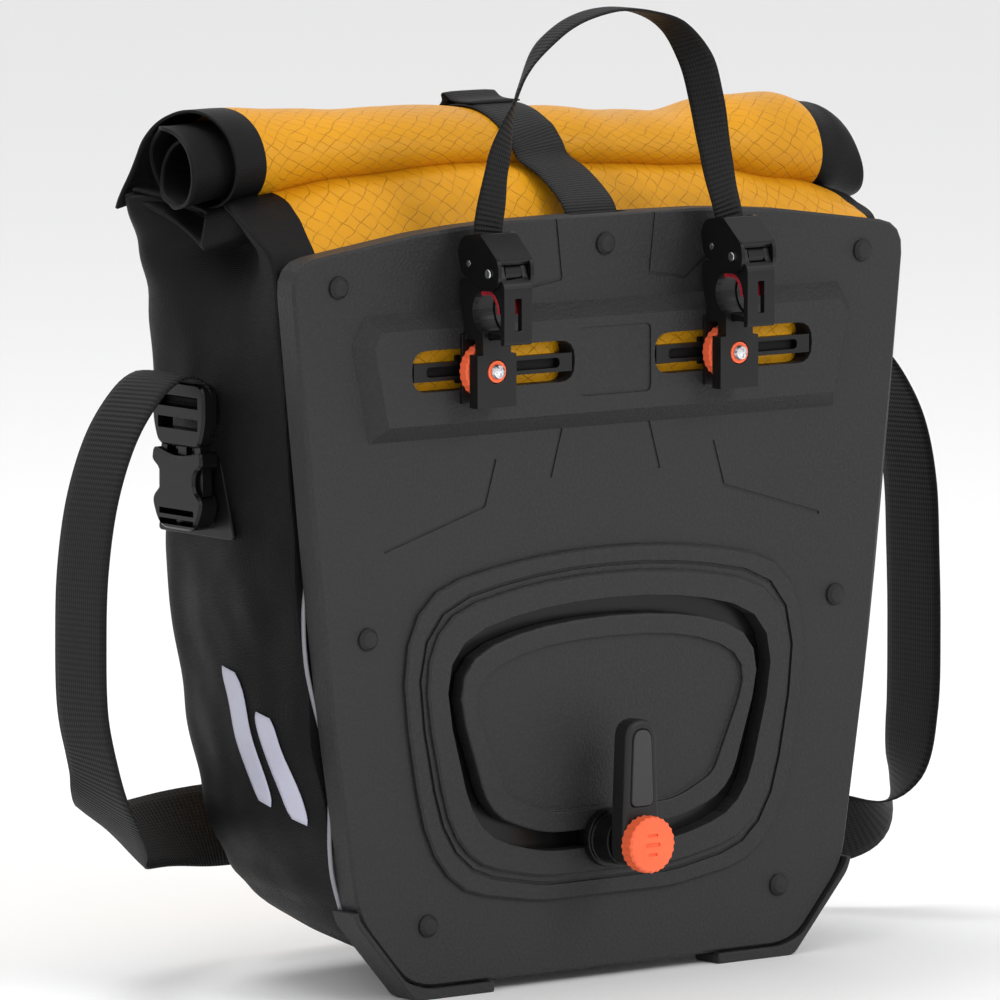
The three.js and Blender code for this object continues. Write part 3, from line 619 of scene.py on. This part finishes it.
def build_roll():
    """The hem as a rolled sheet of cloth with open, telescoped ends."""
    path, _ = smooth_path([Vector((0, y, z)) for y, z in SPIRAL], SPIRAL_SAMPLES)
    samples = SPIRAL_SAMPLES
    columns = END_COLUMNS + AMBER_COLUMNS + END_COLUMNS
    verts, faces, uvs, picks = [], [], [], []
    for layer in (0, 1):
        for k, p in enumerate(path):
            t = k / samples
            ahead = (path[min(k + 1, samples)] - path[max(k - 1, 0)]).normalized()
            inset = (-ahead.z * CLOTH * layer, ahead.y * CLOTH * layer)
            xs = (spread(ramp(t, LEFT_END), ROLL_LEFT, END_COLUMNS)
                  + spread(ROLL_LEFT, ROLL_RIGHT, AMBER_COLUMNS)
                  + spread(ROLL_RIGHT, ramp(t, RIGHT_END), END_COLUMNS) + [ramp(t, RIGHT_END)])
            for x in xs:
                ripple = 0.5 * math.sin(x / 17 + 9 * t) + crumple((x, 60 * t, 0), 31, 34, 1.6)
                fade = ramp(t, [(0, 0), (0.1, 1), (1, 1)])
                lift = Vector((0, ahead.z, -ahead.y)) * (0.001 * ripple * fade)
                verts.append(roll_point(x, (p.y, p.z), inset) - lift)
    row = columns + 1
    sheet = (samples + 1) * row
    length = SPIRAL_LENGTH / samples
    for layer in (0, 1):
        for k in range(samples):
            for i in range(columns):
                a = layer * sheet + k * row + i
                quad = [a, a + 1, a + row + 1, a + row]
                corner = [(verts[q].x, (k + step) * length) for q, step in zip(quad, (0, 0, 1, 1))]
                if layer:
                    quad.reverse()
                    corner.reverse()
                faces.append(quad)
                uvs.append(corner)
                middle = END_COLUMNS <= i < END_COLUMNS + AMBER_COLUMNS
                picks.append(1 if middle and k < AMBER_SHARE * samples else 0)
    rim = ([(k * row, (k + 1) * row) for k in range(samples)]
           + [(k * row + columns, (k + 1) * row + columns) for k in range(samples)]
           + [(i, i + 1) for i in range(columns)]
           + [(samples * row + i, samples * row + i + 1) for i in range(columns)])
    for a, b in rim:
        faces.append([a, b, b + sheet, a + sheet])
        uvs.append([(0, 0)] * 4)
        picks.append(0)
    roll = add_mesh("rolled_hem", verts, faces, ["cloth", "amber"], uvs, picks)
    fix_normals(roll)
    return roll


# ---- reflective marks ---------------------------------------------------------------------------
def build_marks(body):
    """Two plain slanted reflective bars on each side panel, laid on the cloth."""
    tree = BVHTree.FromObject(body, bpy.context.evaluated_depsgraph_get())
    rows, columns, width = 16, 6, 13.0
    for label, side in SIDES:
        verts, faces = [], []
        for reach, low, high in ((63.0, 84.0, 142.0), (42.0, 78.0, 124.0)):
            start = len(verts)
            for r in range(rows + 1):
                t = r / rows
                ends = 1 - abs(2 * t - 1) ** 8 * 0.35
                for c in range(columns + 1):
                    v = (c / columns - 0.5) * width * ends
                    y = reach - 13 * (1 - t) + v
                    z = low + (high - low) * t + v * 0.25
                    hit = tree.ray_cast(at(side * 220, y, z), Vector((-side, 0, 0)))[0]
                    verts.append(hit + Vector((side * 0.0005, 0, 0)))
            faces += [[start + r * (columns + 1) + c, start + r * (columns + 1) + c + 1,
                       start + (r + 1) * (columns + 1) + c + 1, start + (r + 1) * (columns + 1) + c]
                      for r in range(rows) for c in range(columns)]
        mark = add_mesh(f"reflective_bars_{label}", verts, faces, ["film"])
        add_modifier(mark, "SOLIDIFY", thickness=0.0004, offset=0)
        apply_modifiers(mark)
        fix_normals(mark)
        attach(mark, "bag")
        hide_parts(f"emblem_{label}")


# ---- straps -----------------------------------------------------------------------------------
def turning(*stops):
    """Width direction that swings through (t, degrees from +X towards +Y) stops."""
    def across(t):
        angle = math.radians(ramp(t, stops))
        return Vector((math.cos(angle), math.sin(angle), 0))
    return across


def finish_strap(strap, node, body="bag"):
    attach(strap, body)
    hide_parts(node)


def build_handle():
    """Carry handle: flat at both hooks, and turned edge-on over its arch."""
    points = [at(*p) for p in [
        (-75, -10.6, 317.5), (-75, -13, 315.4), (-75, -16.2, 318.5), (-75, -15.4, 324), (-74.5, -14, 333),
        (-72, -13.5, 345), (-68, -13, 362), (-61, -12.5, 381), (-53, -12, 398), (-41, -12, 412),
        (-23, -12, 421.5), (0, -12, 424.5), (25, -12, 418), (40, -12, 402), (46, -12.5, 384),
        (49.5, -13, 366), (53, -13.5, 349), (57, -14, 334), (58, -15.4, 324), (58, -16.2, 318.5),
        (58, -13, 315.4), (58, -10.6, 317.5)]]
    across = turning((0, 0), (0.10, 0), (0.17, 14), (0.29, 54), (0.38, 78), (0.5, 92), (0.62, 112),
                     (0.72, 138), (0.84, 168), (0.9, 180), (1, 180))

    def width(t):
        return 0.0150 + 0.0012 * bump(t, 0.5, 0.36)

    strap = ribbon("carry_handle", points, across, width, 0.0016, "handle", 220)
    finish_strap(strap, "handle_strap", "handle")


def build_shoulder():
    """Shoulder strap: out of the left buckle, down and behind the bag, and up to the right one."""
    run = [(-172, 73, 254), (-171, 73, 262), (-175, 73, 268), (-184, 73, 270.5), (-197, 72, 264),
           (-212, 71, 246), (-223, 70, 220), (-229, 69, 190), (-231, 68, 160), (-231, 67, 130),
           (-227, 66, 108), (-217, 72, 88), (-198, 92, 72), (-168, 124, 63), (-120, 146, 60), (-50, 155, 58),
           (30, 156, 54), (105, 150, 48), (158, 132, 41), (192, 102, 36), (214, 80, 42), (226, 71, 60),
           (230, 68, 92), (231, 68, 130), (231, 69, 165), (230, 70, 198), (224, 71, 226), (212, 72, 248),
           (197, 73, 264), (184, 73, 270.5), (175, 73, 268), (171, 73, 262), (172, 73, 254)]

    def swing(t):
        """From along Y on the left leg, through upright behind the bag, to along Y on the right."""
        angle = math.radians(ramp(t, [(0, 0), (0.23, 0), (0.31, 38), (0.42, 90), (0.62, 90), (0.75, 136),
                                      (0.81, 180), (1, 180)]))
        return Vector((0, math.cos(angle), math.sin(angle)))

    strap = ribbon("shoulder_webbing", [at(*p) for p in run], swing, 0.037, 0.0019, "strap", 320, 8)
    finish_strap(strap, "shoulder_strap", "strap")


def build_closure(body):
    """Closing strap over the hem, its folded tab, and the webbing sewn below the buckle."""
    flat = turning((0, 0), (1, 0))
    tree = BVHTree.FromObject(body, bpy.context.evaluated_depsgraph_get())

    def on_front(z, proud):
        """A point on the middle of the bag's front, the given metres proud of the cloth."""
        hit = tree.ray_cast(at(0, 220, z), Vector((0, -1, 0)))[0]
        return hit + Vector((0, proud, 0))

    over = [at(*p) for p in [
        (1, 8.6, 326), (1, 12.5, 337), (1, 20, 344), (0, 31, 351.5), (-2, 41, 357), (-3, 45, 363),
        (-5, 50, 370), (-7, 60, 376.2), (-8, 72, 378.6), (-8, 86, 376.8), (-7, 98, 368), (-5, 105, 357),
        (-3, 113, 344)]]
    down = [on_front(z, 0.0016) for z in (326, 308, 286, 262)]
    strap = ribbon("closure_strap", over + down + [at(0, 137.2, 236), at(0, 137.4, 216)],
                   flat, 0.028, 0.0017, "closure", 200)
    finish_strap(strap, "closing_strap")
    tab = ribbon("closure_tab", [at(*p) for p in [
        (-8, 68, 380.0), (-8, 76, 379.9), (-8, 82, 380.6), (-8, 86.4, 382.9), (-8, 88.6, 382.3),
        (-8, 88.0, 379.9), (-8, 89.8, 377.6), (-8, 94, 375.0)]],
        flat, 0.0275, 0.0016, "closure", 60)
    finish_strap(tab, "strap_tab")
    below = [at(0, 136, 182)] + [on_front(z, 0.0012) for z in (172, 150, 130, 104, 96)]
    lower = ribbon("front_webbing", below, flat, 0.026, 0.0016, "closure", 40)
    finish_strap(lower, "lower_webbing")


def build_liners():
    """Rubber strip behind each rail's slot."""
    half, y, z = 38.0, -2.7, WINDOW_Z - 0.5
    for label, _ in SIDES:
        low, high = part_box(f"rail_{label}")
        middle = (low.x + high.x) / 2 * 1000
        strip = ribbon(f"slot_liner_{label}", [at(middle + t * half, y, z) for t in (-1, -0.5, 0, 0.5, 1)],
                       lambda t: Vector((0, 0, 1)), 0.0064, 0.0005, "liner", 24, 4)
        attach(strip, "bag")


def build_piping():
    """Thin reflective cord sewn in behind the plate's rim, which comes out in two places a side."""
    edge = [(133.5, 40), (137, 55), (139.5, 68), (141.5, 80), (144, 96), (146, 110), (149, 132), (151, 150),
            (153.5, 170), (156, 195), (160.5, 240), (165, 290)]
    for label, side in SIDES:
        points = []
        for x, z in edge:
            out = 6.0 * max(bump(z, 54, 48), bump(z, 153, 48)) - 5.2
            points.append(at(side * (x + out), 13.7, z))
        cord = ribbon(f"edge_piping_{label}", points, turning((0, 90), (1, 90)), 0.0022, 0.0016,
                      "cord", 140, 4)
        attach(cord, "bag")
        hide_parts(f"piping_{label}")


# ---- finishes on the CAD pieces ----------------------------------------------------------------
def dress(node, key, bevel):
    """Gives a CAD node its material and soft moulded edges (bevel in metres)."""
    made = NODES[node]
    made.data.materials.clear()
    made.data.materials.append(MATERIALS[key])
    add_modifier(made, "WELD", merge_threshold=1e-5)
    add_modifier(made, "DECIMATE", decimate_type="DISSOLVE", angle_limit=math.radians(1.5))
    if bevel:
        add_modifier(made, "BEVEL", width=bevel, segments=2, limit_method="ANGLE",
                     angle_limit=math.radians(38), use_clamp_overlap=True, harden_normals=False)
    add_modifier(made, "TRIANGULATE", min_vertices=5)
    for polygon in made.data.polygons:
        polygon.use_smooth = False


def dress_all():
    """Material and bevel of each CAD node that stays in sight."""
    single = {
        "back_plate": ("charcoal", 0.0007), "track_rail": ("gloss_black", 0),
        "track_island": ("charcoal", 0.0007), "anchor_carriage": ("gloss_black", 0.0005),
        "anchor_arm": ("arm_black", 0.0006), "anchor_grip": ("grip", 0.0003),
        "anchor_knob": ("orange", 0.0004), "anchor_screw": ("steel", 0.0002),
        "closure_housing": ("satin_black", 0.0012), "closure_tongue": ("satin_black", 0.0005)}
    paired = {
        "rail": ("rail", 0.0004), "corner_guard": ("charcoal", 0.0007),
        "strap_patch": ("satin_black", 0.0004), "buckle_socket": ("gloss_black", 0.0006),
        "buckle_plug": ("gloss_black", 0.0005),
        "hook_body": ("satin_black", 0.0006), "hook_lever": ("gloss_black", 0.0006),
        "hook_claw": ("gloss_black", 0.0005), "tube_insert": ("red", 0.0003),
        "thumb_wheel": ("orange", 0.0003), "clamp_screw": ("steel", 0.0002),
        "clamp_jaw": ("satin_black", 0.0003), "pivot_pin": ("steel", 0.0003), "strap_bar": ("steel", 0.0002)}
    for node, (key, bevel) in single.items():
        dress(node, key, bevel)
    for stem, (key, bevel) in paired.items():
        for label, _ in SIDES:
            dress(f"{stem}_{label}", key, bevel)
    for index in range(1, 8):
        dress(f"rivet_{index}", "arm_black", 0.0004)


# ---- stage, light and camera -------------------------------------------------------------------
def build_stage():
    """Pale floor, even white surroundings and three soft lamps."""
    floor = add_mesh("floor", [(-6, -6, 0), (6, -6, 0), (6, 6, 0), (-6, 6, 0)], [(0, 1, 2, 3)], [])
    g = Graph("pale_floor")
    tone = g.remap(g.noise(g.coords(), 3, 2), 0.3, 0.7, 0.0, 0.02)
    floor.data.materials.append(g.finish(g.mix(tone, (0.93, 0.93, 0.93, 1), (0.88, 0.88, 0.88, 1)), 0.6))
    world = bpy.data.worlds.new("studio")
    bpy.context.scene.world = world
    world.use_nodes = True
    world.node_tree.nodes["Background"].inputs[0].default_value = (1, 1, 1, 1)
    world.node_tree.nodes["Background"].inputs[1].default_value = 0.85
    add_light("key", (1.0, -2.6, 2.0), 36, 1.2)
    add_light("fill", (-2.4, -1.0, 1.6), 8, 1.6)
    add_light("top", (-0.4, 0.9, 2.6), 22, 1.2)


def add_light(name, place, power, size):
    """Square area lamp at a place, turned towards the bag."""
    data = bpy.data.lights.new(name, "AREA")
    data.energy, data.size = power, size
    made = bpy.data.objects.new(name, data)
    made.location = place
    made.rotation_euler = (Vector((0, 0, 0.2)) - Vector(place)).to_track_quat("-Z", "Y").to_euler()
    bpy.context.scene.collection.objects.link(made)


def build_camera():
    """Long lens on the plate's side, from the left and a little above."""
    azimuth, elevation, distance = math.radians(-38.0), math.radians(6.57), 4.666
    data = bpy.data.cameras.new("view")
    data.sensor_width, data.lens = 36.0, 36.0 * 10.732
    data.clip_end = 50
    data.shift_x = -0.105
    made = bpy.data.objects.new("view", data)
    away = Vector((math.sin(azimuth) * math.cos(elevation), -math.cos(azimuth) * math.cos(elevation),
                   math.sin(elevation)))
    made.location = at(0, 0, 210) + away * distance
    made.rotation_euler = (-away).to_track_quat("-Z", "Y").to_euler()
    bpy.context.scene.collection.objects.link(made)
    bpy.context.scene.camera = made
    bpy.context.scene.view_settings.view_transform = "Standard"


def build_soft():
    """Every soft piece, the shell first because marks and straps are laid on it."""
    body = build_body()
    add_modifier(body, "SUBSURF", levels=1, render_levels=1)
    apply_modifiers(body)
    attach(body, "bag")
    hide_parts("bag_body")
    build_marks(body)
    build_piping()
    build_liners()
    roll = build_roll()
    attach(roll, "bag")
    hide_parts("roll_top")
    for label, side in SIDES:
        build_pleat(f"gusset_pleat_{label}", side)
    build_handle()
    build_shoulder()
    build_closure(body)


build_camera()
build_stage()
dress_all()
build_soft()
